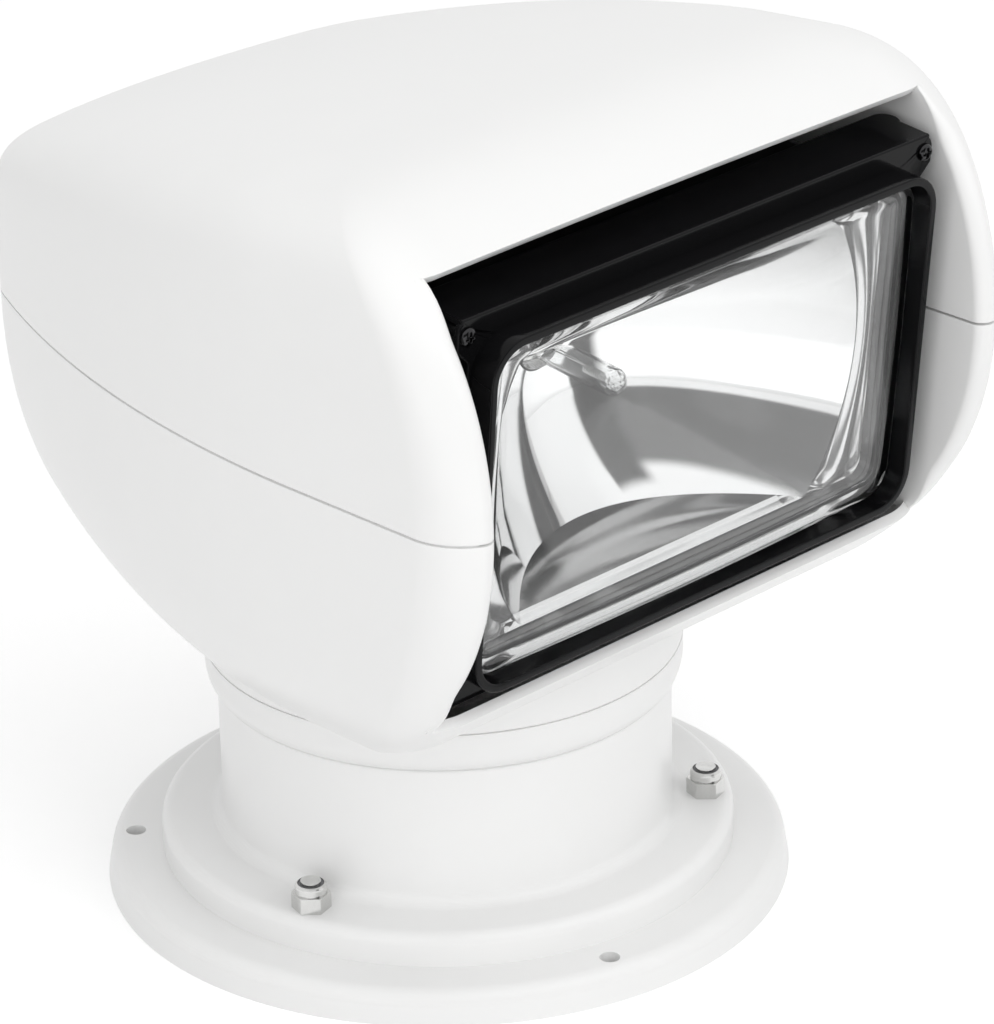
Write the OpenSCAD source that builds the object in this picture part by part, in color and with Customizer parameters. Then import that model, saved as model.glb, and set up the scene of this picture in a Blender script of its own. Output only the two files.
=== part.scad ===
// Remote controlled marine searchlight: a round bolted base with a short pedestal,
// a panning two-part head and a rectangular lamp that tilts in the head's front opening.
// Millimetres. X runs sideways, -Y is the front, Z is up, and the origin is the centre of the underside.

/* [Base] */
// Radius of the mounting plate
plate_r = 101.8; // [101:0.2:106]
// Thickness of the mounting plate
plate_t = 10; // [9:0.5:11]
// Radius of the pedestal's foot
foot_r = 85.3; // [84.5:0.1:87]
// Thickness of the pedestal's foot
foot_t = 10; // [9:0.5:11]
// Radius of the pedestal's column
column_r = 67; // [66:0.25:68]
// Radius of the circle of deck screw holes
screw_circle_r = 93.5; // [92.5:0.25:95]
// Radius of the circle of studs
stud_circle_r = 77; // [76.5:0.25:78]
// Turn of the hole pattern from straight ahead
base_clock = -15; // [-30:5:30]

/* [Head] */
// Half width of the head at the parting line
head_half_w = 112; // [108:0.5:118]
// Distance from the pan axis to the front of the cheeks
head_front = 124.5; // [123:0.5:127]
// Distance from the pan axis to the rear of the head
head_rear = 126; // [122:0.5:130]
// Height of the crown above the parting line
crown_h = 83.8; // [83:0.2:88]
// Wall thickness of the shells
wall = 3; // [2.5:0.1:3.2]
// Radius of the turning neck
neck_r = 70.4; // [69.5:0.1:72]

/* [Lamp] */
// Half height of the bezel ring
bezel_half_h = 53.3; // [51:0.1:54]
// Angle by which the lamp looks down at rest
rest_droop = 5.6; // [0:0.2:6]

/* [Hidden] */
$fn = 64;
// Clearances: running fit on a shaft, and seat of a fixed piece
run_gap = 0.05;
seat_gap = 0.05;

// Heights of the base, from the deck upwards
plate_floor = 3;
foot_z = plate_t;
foot_top = foot_z + foot_t;
column_top = foot_top + 43.4;
deck_top = column_top - 2;
deck_t = 5;
neck_gap = 0.6;
neck_z = column_top + neck_gap;
neck_floor = neck_z + 4;
floor_z = neck_z + 12;
cavity_r = column_r - 5;
pillar_z = deck_top - 19;
seal_in_r = 69;
seal_out_r = 72;
seal_h = 2;
cable_hole_r = 5;
grommet_r = 9;

// Fasteners
stud_r = 3;
stud_hole_r = 3.2;
screw_hole_r = 3;
nut_flats = 10;
nut_hex_h = 5;
nut_h = 8;
nut_corner_r = nut_flats / 2 / cos(30);
ring_r = 3.9;
bolt_head_h = 4;
bolt_head_z = 0.5;
small_screw_r = 1.5;
small_head_r = 2.8;
small_head_h = 1.8;

// Pan axis: hollow spindle, bush, gear pair and motor
spindle_r = 15.95;
wire_r = 12;
bush_r = 19;
bush_flange_r = 26;
spindle_end = deck_top - 22;
gear_module = 1.5;
pressure_angle = 20;
tooth_tip = 0.9;
tooth_root = 1.25;
backlash = 0.12;
pan_teeth = 39;
pinion_teeth = 15;
gear_z = spindle_end + 5.5;
gear_top = gear_z + 7.5;
washer_t = 3 - run_gap;
pan_centre = gear_module * (pan_teeth + pinion_teeth) / 2;
pan_motor_angle = 90;
shaft_r = 3;
gearbox_r = 16;
motor_r = 13.8;
pillar_r = 4.5;
pillar_circle_r = cavity_r - 7;
motor_plate_t = 2;
stop_r = 2.5;
stop_circle_r = 45;
neck_screw_r = 50;
neck_screw_l = 9.5;
clamp_r = 22;

// Head: plan outline, edge shapes and front opening
split_z = floor_z + 100.7;
half_joint = 0.4;
corner_r = 19;
side_arc_y = -61;
side_arc_r = 384;
rear_corner_r = 29;
rear_arc_r = 180;
crown_peak_y = -116;
crown_fall = 7.35;
crown_sag = 0.9;
brow_y = -14;
brow_z = split_z + 1.3;
brow_r = 105;
// Sharpness of the rounded edges at the sides, front and rear
upper_edges = [7.6, 7.1, 14];
lower_edges = [3.52, 7, 2.29];
floor_depth = split_z - floor_z;
cheek_t = 15.5;
opening_half_w = head_half_w - cheek_t;
liner_t = 3;
cheek_round = 4;
collar_h = 20;
liner_back = -30;
post_r = 4.5;
front_post = [head_half_w - 28, 26];
rear_post = [head_half_w - 40, head_rear - 42];
post_screw_drop = 26;
// Heights of the surface rings as parts of the full height, and the draw-in of the crown's inner rings
upper_rises = [0.35, 0.6, 0.75, 0.84, 0.9, 0.94, 0.967, 0.985, 0.995, 0.9995];
lower_rises = [0.25, 0.42, 0.55, 0.66, 0.75, 0.82, 0.87, 0.91, 0.945, 0.975];
inner_rings = [0.66, 0.33];

// Lamp: pivot, frame, optics
pivot_y = 59.5 - head_front;
axis_drop = 1;
pin_r = 4;
pin_head_r = 6;
pivot_bush_r = 6;
bush_lip = 1.6;
side_gap = 3;
frame_margin = 5.5;
frame_half_w = opening_half_w - side_gap;
frame_t = 2;
frame_top = bezel_half_h + frame_margin;
frame_bottom = -frame_top;
arm_half_h = 14;
plate_front = -35;
bezel_front = plate_front - 8;
bezel_half_w = frame_half_w - frame_margin;
sweep_r = norm([bezel_front, bezel_half_h + axis_drop]) + 1;
opening_top = split_z + frame_top + 8.2;
opening_bottom = split_z + frame_bottom - 6.4;
bezel_wall = 2.5;
bezel_r = 12;
flange_depth = 19;
frame_corner_r = 4.5;
notch_top = 50;
notch_bottom = 20;
lens_lap = 3;
lens_rim = 4;
dome_r = 700;
seal_t = 1;
focal = 25;
apex_y = 26;
mirror_t = 2;
mirror_half_h = bezel_half_h - 7.3;
can_back = 34;
can_step = -18;
can_wall = 2;
can_half_w = bezel_half_w - 10;
can_half_h = bezel_half_h - 1.3;
frame_screw_x = frame_half_w - 3.5;
frame_screw_z = bezel_half_h + 0.5;
screw_boss_r = 2.6;

// Tilt drive
sector_teeth = 80;
sector_t = 5;
sector_x = frame_half_w - frame_t - sector_t;
tilt_centre = gear_module * (sector_teeth + pinion_teeth) / 2;
drive_angle = -20;
drive_y = pivot_y + tilt_centre * cos(drive_angle);
drive_z = split_z + tilt_centre * sin(drive_angle);
bracket_x = sector_x - 4.5;
bracket_t = 2;
pad_top = floor_z + 26;
pad_y = [-14, 20];
pad_depth = 28;
pad_x = [bracket_x + bracket_t - pad_depth, bracket_x + bracket_t];

// Node to draw

function mix(a, b, t) = a + (b - a) * t;
function arc(c, r, a0, a1, n) =
    [for (i = [0:n]) c + r * [cos(mix(a0, a1, i / n)), sin(mix(a0, a1, i / n))]];
function rest(list) = [for (i = [1:len(list) - 1]) list[i]];

// Head plan: straight front, rounded front corner, bowed side, rear corner and bowed rear
function side_arc_c() = [head_half_w - side_arc_r, side_arc_y];
function rear_arc_c() = [0, head_rear - rear_arc_r];
function rear_corner_c() =
    let (a = side_arc_c(), b = rear_arc_c(), ra = side_arc_r - rear_corner_r, rb = rear_arc_r - rear_corner_r,
         d = norm(b - a), u = (b - a) / d, along = (ra * ra - rb * rb + d * d) / (2 * d),
         off = sqrt(ra * ra - along * along))
    a + along * u + off * [-u[1], u[0]];
function angle_to(a, b) = atan2(b[1] - a[1], b[0] - a[0]);
function half_plan(g) =
    let (c = rear_corner_c(), a1 = angle_to(side_arc_c(), c), a2 = angle_to(rear_arc_c(), c),
         front = -head_front + g, x_end = head_half_w - corner_r)
    concat(
        [[0, front]],
        arc([x_end, corner_r - head_front], corner_r - g, -90, 0, 5),
        arc(side_arc_c(), side_arc_r - g, 0, a1, 7),
        rest(arc(c, rear_corner_r - g, a1, a2, 6)),
        rest(arc(rear_arc_c(), rear_arc_r - g, a2, 90, 4)));
function plan(g) =
    let (half = half_plan(g), n = len(half))
    concat(half, [for (i = [n - 2:-1:1]) [-half[i][0], half[i][1]]]);

// Head surface: the plan drawn in towards the crown or the floor, with the front following the brow arc
function edge_scale(rise, power) = pow(max(0, 1 - pow(rise, power)), 1 / power);
function crown(x, y) =
    crown_h - crown_fall * pow(max(0, y - crown_peak_y) / 100, 2) - crown_sag * pow(x / 100, 2);
function brow(z) = sqrt(max(0.02, 1 - pow((z - brow_z) / brow_r, 2)));
function head_point(p, g, up, rise, in) =
    let (edges = up ? upper_edges : lower_edges,
         level = up ? split_z + (crown_h - g) * rise : split_z - (floor_depth - g) * rise,
         dy = p[1] - brow_y,
         drawn = dy < 0 ? min(1, brow(level) / brow(split_z)) * edge_scale(rise, edges[1])
            : edge_scale(rise, edges[2]),
         x = in * p[0] * edge_scale(rise, edges[0]), y = brow_y + in * dy * drawn)
    [x, y, up ? split_z + (crown(x, y) - g) * rise : level];

// Solid inside the head's skin, drawn in by g: the upper or the lower half
module head_solid(g, up) {
    base = plan(g);
    n = len(base);
    start = up ? split_z + half_joint : split_z - half_joint;
    skirt = g > 0 ? (up ? -2 : 2) : 0;
    rises = up ? upper_rises : lower_rises;
    top = rises[len(rises) - 1];
    rings = concat(
        [[for (p = base) [p[0], p[1], start + skirt]]],
        [for (r = rises) [for (p = base) head_point(p, g, up, r, 1)]],
        [for (in = inner_rings) [for (p = base) head_point(p, g, up, top, in)]]);
    last = len(rings) - 1;
    pole = head_point([0, brow_y], g, up, 1, 0);
    points = concat([for (r = rings) each r], [pole]);
    walls = [for (k = [0:last - 1], j = [0:n - 1])
        let (a = k * n + j, b = k * n + (j + 1) % n)
        each [[a, a + n, b + n], [a, b + n, b]]];
    cap = [for (j = [0:n - 1]) [last * n + j, len(points) - 1, last * n + (j + 1) % n]];
    faces = concat([[for (j = [0:n - 1]) j]], walls, cap);
    turned = [for (f = faces) concat([f[0]], [for (i = [len(f) - 1:-1:1]) f[i]])];
    polyhedron(points, up ? faces : turned, convexity = 6);
}

// Involute spur gear outline, one tooth centred on the X axis
function inv(a) = tan(a) * 180 / PI - a;
function flank(r, teeth) =
    let (rp = gear_module * teeth / 2, rb = rp * cos(pressure_angle))
    90 / teeth - backlash / rp * 90 / PI + inv(pressure_angle) - inv(acos(min(1, rb / max(r, rb))));
function tooth(teeth) =
    let (rp = gear_module * teeth / 2, root = rp - tooth_root * gear_module,
         radii = [root, rp - 0.6 * gear_module, rp, rp + 0.5 * gear_module, rp + tooth_tip * gear_module])
    concat(
        [for (r = radii) [r, -flank(r, teeth)]],
        [for (i = [len(radii) - 1:-1:0]) [radii[i], flank(radii[i], teeth)]]);
function gear_points(teeth, first, count) =
    [for (k = [first:first + count - 1], p = tooth(teeth))
        p[0] * [cos(p[1] + k * 360 / teeth), sin(p[1] + k * 360 / teeth)]];

module ring(r_out, r_in, z0, z1) {
    translate([0, 0, z0])
        difference() {
            cylinder(r = r_out, h = z1 - z0);
            translate([0, 0, -1])
                cylinder(r = r_in, h = z1 - z0 + 2);
        }
}

module at_circle(r, count, start) {
    for (i = [0:count - 1])
        rotate([0, 0, start + i * 360 / count])
            translate([r, 0, 0])
                children();
}

module at_studs() {
    at_circle(stud_circle_r, 3, base_clock - 30) children();
}

// Rounded rectangle standing in the lamp's front plane
module slab(half_w, half_h, r, y0, y1) {
    translate([0, y1, -axis_drop])
        rotate([90, 0, 0])
            linear_extrude(y1 - y0)
                rounded(half_w, half_h, r);
}

module rounded(half_w, half_h, r) {
    square([2 * half_w, 2 * (half_h - r)], center = true);
    square([2 * (half_w - r), 2 * half_h], center = true);
    for (x = [-1, 1], z = [-1, 1])
        translate([x * (half_w - r), z * (half_h - r)])
            circle(r = r);
}

module both_sides() {
    children();
    mirror([1, 0, 0]) children();
}

module on_lamp() {
    translate([0, pivot_y, split_z])
        rotate([rest_droop, 0, 0])
            children();
}

// Round plate bolted to the deck
module mounting_plate() {
    edge = 4.5;
    color("white")
        difference() {
            rotate_extrude()
                polygon(concat(
                    [[0, 0], [plate_r, 0]],
                    arc([plate_r - 1 - edge, plate_t - edge], edge, 0, 90, 10),
                    [[0, plate_t]]));
            translate([0, 0, plate_floor])
                cylinder(r = cavity_r, h = plate_t);
            translate([0, 0, -1])
                cylinder(r = grommet_r, h = plate_t);
            ring(seal_out_r, seal_in_r, plate_t - seal_h, plate_t + 1);
            at_circle(screw_circle_r, 3, base_clock - 90)
                translate([0, 0, -1])
                    cylinder(r = screw_hole_r, h = plate_t + 2);
            at_studs() {
                translate([0, 0, -1])
                    cylinder(r = stud_hole_r, h = plate_t + 2);
                translate([0, 0, -1])
                    cylinder(r = nut_corner_r + 0.2, h = bolt_head_z + bolt_head_h + 1, $fn = 6);
            }
        }
}

// Square-section seal in the plate's groove, under the foot
module foot_seal() {
    color("dimgray")
        ring(seal_out_r - seat_gap, seal_in_r + seat_gap, plate_t - seal_h, plate_t);
}

// Hexagon bolts standing up through plate and foot
module base_bolts() {
    color("silver")
        at_studs() {
            translate([0, 0, bolt_head_z])
                cylinder(r = nut_corner_r, h = bolt_head_h, $fn = 6);
            translate([0, 0, bolt_head_z])
                cylinder(r = stud_r, h = foot_top + nut_h + 0.6 - bolt_head_z);
        }
}

// Lock nuts: hexagon with a domed collar
module stud_nuts() {
    collar_r = nut_flats / 2 - 0.3;
    color("silver")
        at_studs()
            translate([0, 0, foot_top])
                difference() {
                    union() {
                        intersection() {
                            cylinder(r = nut_corner_r, h = nut_hex_h, $fn = 6);
                            cylinder(r1 = nut_flats, r2 = nut_flats / 2 + 0.1, h = nut_hex_h + 0.4);
                        }
                        rotate_extrude()
                            polygon(concat(
                                [[0, nut_hex_h - 1], [collar_r, nut_hex_h - 1]],
                                arc([collar_r - 1.2, nut_h - 1.2], 1.2, 0, 90, 4),
                                [[0, nut_h]]));
                    }
                    translate([0, 0, -1])
                        cylinder(r = stud_r + seat_gap, h = nut_h + 2);
                    translate([0, 0, nut_hex_h])
                        cylinder(r = ring_r, h = nut_h);
                }
}

// Nylon locking rings inside the nut collars
module nut_rings() {
    color("dimgray")
        at_studs()
            translate([0, 0, foot_top])
                ring(ring_r - seat_gap, stud_r + seat_gap, nut_hex_h, nut_h - 0.5);
}

// Foot and hollow column, closed by a bearing deck
module pedestal() {
    fillet = stud_circle_r - nut_corner_r - column_r - seat_gap;
    edge = 3.5;
    rim = 1;
    color("white")
        difference() {
            union() {
                rotate_extrude()
                    polygon(concat(
                        [[cavity_r, foot_z], [foot_r, foot_z]],
                        arc([foot_r - edge, foot_top - edge], edge, 0, 90, 8),
                        arc([column_r + fillet, foot_top + fillet], fillet, 270, 180, 8),
                        arc([column_r - rim, column_top - rim], rim, 0, 90, 3),
                        [[cavity_r, column_top]]));
                translate([0, 0, deck_top - deck_t])
                    cylinder(r = cavity_r + 1, h = deck_t);
                at_circle(pillar_circle_r, 3, pan_motor_angle + 60)
                    translate([0, 0, pillar_z])
                        cylinder(r = pillar_r, h = deck_top - deck_t - pillar_z + 1);
                rotate([0, 0, 90])
                    translate([stop_circle_r, 0, deck_top - 1])
                        cylinder(r = stop_r, h = 2.6);
            }
            translate([0, 0, deck_top - deck_t - 1])
                cylinder(r = bush_r + seat_gap, h = deck_t + 2);
            at_studs()
                translate([0, 0, foot_z - 1])
                    cylinder(r = stud_hole_r, h = foot_t + 2);
            at_circle(pillar_circle_r, 3, pan_motor_angle + 60)
                translate([0, 0, pillar_z - 1])
                    cylinder(r = small_screw_r + seat_gap, h = 11);
        }
}

// Rubber grommet for the cable in the plate's floor
module cable_grommet() {
    color("dimgray")
        rotate_extrude()
            polygon([[cable_hole_r, 0.4], [grommet_r - seat_gap, 0.4], [grommet_r - seat_gap, plate_floor],
                [grommet_r + 3, plate_floor], [grommet_r + 3, plate_floor + 2], [cable_hole_r, plate_floor + 3]]);
}

// Flanged plain bush for the spindle
module pan_bush() {
    color("ivory") {
        difference() {
            union() {
                translate([0, 0, deck_top - deck_t - 1])
                    cylinder(r = bush_r, h = deck_t + 2);
                translate([0, 0, deck_top])
                    cylinder(r = bush_flange_r, h = neck_z - run_gap - deck_top);
            }
            translate([0, 0, deck_top - deck_t - 2])
                cylinder(r = spindle_r + run_gap, h = deck_t + 8);
        }
    }
}

// Steel plate that hangs the pan motor under the deck
module motor_plate() {
    color("lightgray")
        difference() {
            translate([0, 0, pillar_z - motor_plate_t])
                cylinder(r = cavity_r - 1.5, h = motor_plate_t);
            translate([0, 0, pillar_z - motor_plate_t - 1])
                cylinder(r = 24, h = motor_plate_t + 2);
            at_pan_motor()
                translate([0, 0, pillar_z - motor_plate_t - 1]) {
                    cylinder(r = shaft_r + 1, h = motor_plate_t + 2);
                    motor_screw_places() cylinder(r = small_screw_r + seat_gap, h = motor_plate_t + 2);
                }
            at_circle(pillar_circle_r, 3, pan_motor_angle + 60)
                translate([0, 0, pillar_z - motor_plate_t - 1])
                    cylinder(r = small_screw_r + 0.3, h = motor_plate_t + 2);
        }
}

module at_pan_motor() {
    rotate([0, 0, pan_motor_angle])
        translate([pan_centre, 0, 0])
            children();
}

module motor_screw_places() {
    for (s = [-1, 1])
        translate([0, s * 11, 0])
            children();
}

// Pan head screw pointing up along Z, head below
module small_screw(length) {
    cylinder(r = small_screw_r, h = length);
    translate([0, 0, -small_head_h])
        cylinder(r = small_head_r, h = small_head_h);
}

// Screws that hold the motor plate to the pillars
module plate_screws() {
    color("silver")
        at_circle(pillar_circle_r, 3, pan_motor_angle + 60)
            translate([0, 0, pillar_z - motor_plate_t])
                small_screw(10);
}

// Geared motor for panning
module pan_motor() {
    top = pillar_z - motor_plate_t;
    color("gray")
        at_pan_motor()
            difference() {
                union() {
                    translate([0, 0, top - 12])
                        cylinder(r = gearbox_r, h = 12);
                    translate([0, 0, plate_floor + 1])
                        cylinder(r = motor_r, h = top - 12 - plate_floor - 1);
                }
                translate([0, 0, top - 8])
                    cylinder(r = shaft_r + run_gap, h = 10);
                translate([0, 0, top - 7])
                    motor_screw_places() cylinder(r = small_screw_r + seat_gap, h = 10);
            }
}

// Screws that hold the motor to its plate
module motor_screws() {
    color("silver")
        at_pan_motor()
            motor_screw_places()
                translate([0, 0, pillar_z])
                    mirror([0, 0, 1]) small_screw(motor_plate_t + 6);
}

// Pinion and output shaft of the pan motor
module pan_pinion() {
    color("goldenrod")
        at_pan_motor() {
            translate([0, 0, gear_z + 0.5])
                linear_extrude(gear_top - gear_z - 0.5)
                    rotate(180 / pinion_teeth + 180)
                        polygon(gear_points(pinion_teeth, 0, pinion_teeth));
            translate([0, 0, pillar_z - motor_plate_t - 7])
                cylinder(r = shaft_r, h = gear_top - pillar_z + motor_plate_t + 7);
        }
}

// Turning neck with its hollow spindle
module turntable() {
    edge = 7;
    wall_in = neck_r - edge;
    color("white")
        difference() {
            union() {
                rotate_extrude()
                    polygon(concat(
                        [[wire_r, spindle_end], [spindle_r, spindle_end], [spindle_r, neck_z]],
                        arc([neck_r - edge, neck_z + edge], edge, -90, 0, 10),
                        [[neck_r, floor_z], [wall_in, floor_z], [wall_in, neck_floor], [wire_r, neck_floor]]));
                at_circle(neck_screw_r, 4, 45)
                    translate([0, 0, neck_floor - 1])
                        cylinder(r = 5, h = floor_z - neck_floor + 1);
                rotate([0, 0, -90])
                    translate([stop_circle_r, 0, neck_z - 1.8])
                        cylinder(r = stop_r, h = 2.5);
            }
            at_circle(neck_screw_r, 4, 45)
                translate([0, 0, neck_floor + 1])
                    cylinder(r = small_screw_r + seat_gap, h = floor_z);
        }
}

// Spur gear on the spindle
module pan_gear() {
    color("ivory")
        difference() {
            translate([0, 0, gear_z])
                linear_extrude(gear_top - gear_z)
                    rotate(pan_motor_angle)
                        polygon(gear_points(pan_teeth, 0, pan_teeth));
            translate([0, 0, gear_z - 1])
                cylinder(r = spindle_r + seat_gap, h = 20);
        }
}

// Washer between gear and bush
module thrust_washer() {
    color("silver")
        ring(clamp_r, spindle_r + seat_gap, gear_top, gear_top + washer_t);
}

// Slotted ring nut that holds the gear on the spindle
module spindle_nut() {
    color("silver")
        difference() {
            ring(clamp_r, spindle_r + seat_gap, spindle_end, gear_z);
            at_circle(clamp_r, 4, 0)
                translate([-2, -2, spindle_end - 1])
                    cube([4, 4, 3.5]);
        }
}

// Box that opens the head's front
module front_opening() {
    translate([-opening_half_w, -200, opening_bottom])
        cube([2 * opening_half_w, 200 + pivot_y + 5, opening_top - opening_bottom]);
}

// Cutter that rounds the cheeks' inner front edges along the brow arc
module cheek_rounding() {
    half_h = (opening_top - opening_bottom) / 2;
    setback = (head_front + brow_y) * (1 - brow(brow_z + half_h));
    arc_r = (half_h * half_h + setback * setback) / (2 * setback);
    reach = corner_r - cheek_round;
    x = opening_half_w + cheek_round;
    x_off = x - head_half_w + corner_r;
    r = arc_r - corner_r + sqrt(reach * reach - x_off * x_off);
    end = acos(x_off / reach);
    intersection() {
        front_opening_band();
        both_sides()
            translate([0, arc_r - head_front, brow_z])
                rotate([0, 90, 0])
                    rotate_extrude($fn = 96)
                        polygon(concat(
                            [[r, x - cheek_round - 1], [r, x - cheek_round]],
                            [for (p = arc([x, r], cheek_round, 180, end, 6)) [p[1], p[0]]],
                            [[arc_r + 5, x + cheek_round * cos(end)], [arc_r + 5, x - cheek_round - 1]]));
    }
}

// Heights over which the cheeks stand beside the opening
module front_opening_band() {
    translate([-head_half_w, -head_front - 1, opening_bottom])
        cube([2 * head_half_w, head_front, opening_top - opening_bottom]);
}

// Inner walls of the cheeks, pivot bosses and screw posts inside one half of the head
module head_inner_walls() {
    both_sides() {
        translate([opening_half_w, -head_front, floor_z])
            cube([liner_t, head_front + liner_back, 200]);
        translate([opening_half_w, pivot_y, split_z])
            rotate([0, 90, 0])
                cylinder(r = 10, h = 7.5);
        for (p = [front_post, rear_post])
            translate([p[0], p[1], floor_z])
                cylinder(r = post_r, h = 200);
    }
}

module pivot_hole() {
    both_sides()
        translate([opening_half_w - 1, pivot_y, split_z])
            rotate([0, 90, 0])
                cylinder(r = pivot_bush_r + seat_gap, h = 10);
}

module at_posts() {
    both_sides()
        for (p = [front_post, rear_post])
            translate([p[0], p[1], 0])
                children();
}

// Lower half of the head, standing on the neck
module lower_shell() {
    head_z = split_z - post_screw_drop;
    color("white")
        difference() {
            union() {
                difference() {
                    union() {
                        head_solid(0, false);
                        translate([0, 0, floor_z])
                            cylinder(r = neck_r, h = collar_h);
                    }
                    head_solid(wall, false);
                    front_opening();
                }
                intersection() {
                    head_solid(0, false);
                    union() {
                        head_inner_walls();
                        translate([pad_x[0], pad_y[0], floor_z])
                            cube([pad_x[1] - pad_x[0], pad_y[1] - pad_y[0], pad_top - floor_z]);
                    }
                }
            }
            translate([-opening_half_w, pivot_y, split_z])
                rotate([0, 90, 0])
                    cylinder(r = sweep_r, h = 2 * opening_half_w);
            pivot_hole();
            cheek_rounding();
            at_posts() {
                translate([0, 0, floor_z - 1])
                    cylinder(r = small_head_r + 0.4, h = head_z - floor_z + 1);
                translate([0, 0, head_z - 1])
                    cylinder(r = small_screw_r + 0.3, h = 40);
            }
            translate([0, 0, floor_z - 1])
                cylinder(r = wire_r + 2, h = 10);
            at_circle(neck_screw_r, 4, 45) {
                translate([0, 0, floor_z - 1])
                    cylinder(r = small_screw_r + 0.3, h = 20);
                translate([0, 0, floor_z + wall + 0.5])
                    cylinder(r = small_head_r + 1, h = 20);
            }
            for (y = pad_screw_y())
                translate([pad_x[0] + 8, y, pad_top - 10])
                    cylinder(r = small_screw_r + seat_gap, h = 12);
        }
}

function pad_screw_y() = [pad_y[0] + 7, pad_y[1] - 7];

// Screws from the head's floor into the neck
module turntable_screws() {
    color("silver")
        at_circle(neck_screw_r, 4, 45)
            translate([0, 0, floor_z + wall + 0.5])
                mirror([0, 0, 1]) small_screw(neck_screw_l);
}

// Flat seal between the two halves, set back from the skin
module shell_seal() {
    color("gray")
        difference() {
            translate([0, 0, split_z - half_joint])
                linear_extrude(2 * half_joint)
                    difference() {
                        polygon(plan(1.1));
                        polygon(plan(wall));
                    }
            front_opening();
        }
}

// Upper half of the head, crowned and open at the front
module upper_shell() {
    color("white")
        difference() {
            union() {
                difference() {
                    head_solid(0, true);
                    head_solid(wall, true);
                    front_opening();
                }
                intersection() {
                    head_solid(0, true);
                    head_inner_walls();
                }
            }
            pivot_hole();
            cheek_rounding();
            at_posts()
                translate([0, 0, split_z - 1])
                    cylinder(r = small_screw_r + seat_gap, h = 17);
        }
}

// Long screws that close the head from below
module shell_screws() {
    head_z = split_z - post_screw_drop;
    color("silver")
        at_posts()
            translate([0, 0, head_z])
                small_screw(40);
}

// Flanged bushes for the lamp's pivot pins
module pivot_bushes() {
    color("ivory")
        both_sides()
            translate([0, pivot_y, split_z])
                rotate([0, 90, 0])
                    difference() {
                        union() {
                            translate([0, 0, opening_half_w])
                                cylinder(r = pivot_bush_r, h = 7.5);
                            translate([0, 0, opening_half_w - bush_lip])
                                cylinder(r = pivot_bush_r + 2.5, h = bush_lip);
                        }
                        translate([0, 0, opening_half_w - 5])
                            cylinder(r = pin_r + run_gap, h = 15);
                    }
}

// Angle bracket that carries the tilt motor
module tilt_bracket() {
    color("lightgray")
        difference() {
            union() {
                translate([bracket_x, pad_y[0], pad_top])
                    cube([bracket_t, pad_y[1] - pad_y[0], drive_z + 18 - pad_top]);
                translate([pad_x[0], pad_y[0], pad_top])
                    cube([bracket_x - pad_x[0] + 1, pad_y[1] - pad_y[0], bracket_t]);
            }
            translate([bracket_x - 1, drive_y, drive_z])
                rotate([0, 90, 0])
                    cylinder(r = shaft_r + 1, h = bracket_t + 2);
            for (y = pad_screw_y())
                translate([pad_x[0] + 8, y, pad_top - 1])
                    cylinder(r = small_screw_r + 0.3, h = bracket_t + 2);
        }
}

// Screws that hold the bracket to the pad
module bracket_screws() {
    color("silver")
        for (y = pad_screw_y())
            translate([pad_x[0] + 8, y, pad_top + bracket_t])
                mirror([0, 0, 1]) small_screw(10);
}

// Geared motor for tilting
module tilt_motor() {
    color("gray")
        translate([bracket_x, drive_y, drive_z])
            rotate([0, -90, 0])
                difference() {
                    union() {
                        cylinder(r = gearbox_r, h = 14);
                        translate([0, 0, 13])
                            cylinder(r = motor_r, h = 27);
                    }
                    translate([0, 0, -1])
                        cylinder(r = shaft_r + run_gap, h = 9);
                }
}

// Pinion and output shaft of the tilt motor
module tilt_pinion() {
    color("goldenrod")
        translate([0, drive_y, drive_z]) {
            translate([sector_x, 0, 0])
                rotate([90, 0, 90])
                    linear_extrude(sector_t)
                        rotate(drive_angle + 180 + 180 / pinion_teeth)
                            polygon(gear_points(pinion_teeth, 0, pinion_teeth));
            translate([bracket_x - 7, 0, 0])
                rotate([0, 90, 0])
                    cylinder(r = shaft_r, h = sector_x + sector_t - bracket_x + 7);
        }
}

// Black front frame: plate with a window, folded top and bottom, and side arms on the pivots
module lamp_frame() {
    color("black")
        on_lamp()
            difference() {
                union() {
                    translate([0, 0, axis_drop])
                        slab(frame_half_w, frame_top, frame_corner_r, plate_front, plate_front + frame_t);
                    for (z = [frame_bottom, frame_top - frame_t])
                        translate([0, 0, z])
                            linear_extrude(frame_t)
                                flange_outline();
                    both_sides()
                        translate([frame_half_w - frame_t, plate_front, -arm_half_h])
                            cube([frame_t, arm_half_h - plate_front, 2 * arm_half_h]);
                }
                slab(bezel_half_w - bezel_wall, bezel_half_h - bezel_wall, bezel_r - bezel_wall,
                    plate_front - 1, plate_front + frame_t + 1);
                side_notches();
                both_sides()
                    translate([frame_half_w - frame_t - 1, 0, 0])
                        rotate([0, 90, 0])
                            cylinder(r = pin_r + seat_gap, h = frame_t + 2);
                at_frame_screws()
                    translate([0, 0, -1])
                        cylinder(r = small_screw_r + 0.3, h = frame_t + 2);
            }
}

// Folded edge seen from above, with its rear corners rounded off
module flange_outline() {
    half_w = frame_half_w - frame_corner_r;
    translate([-half_w, plate_front])
        square([2 * half_w, flange_depth]);
    translate([-frame_half_w + frame_corner_r / 3, plate_front])
        square([2 * (frame_half_w - frame_corner_r / 3), flange_depth - frame_corner_r]);
    for (x = [-1, 1])
        translate([x * half_w, plate_front + flange_depth - frame_corner_r])
            circle(r = frame_corner_r);
}

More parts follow.
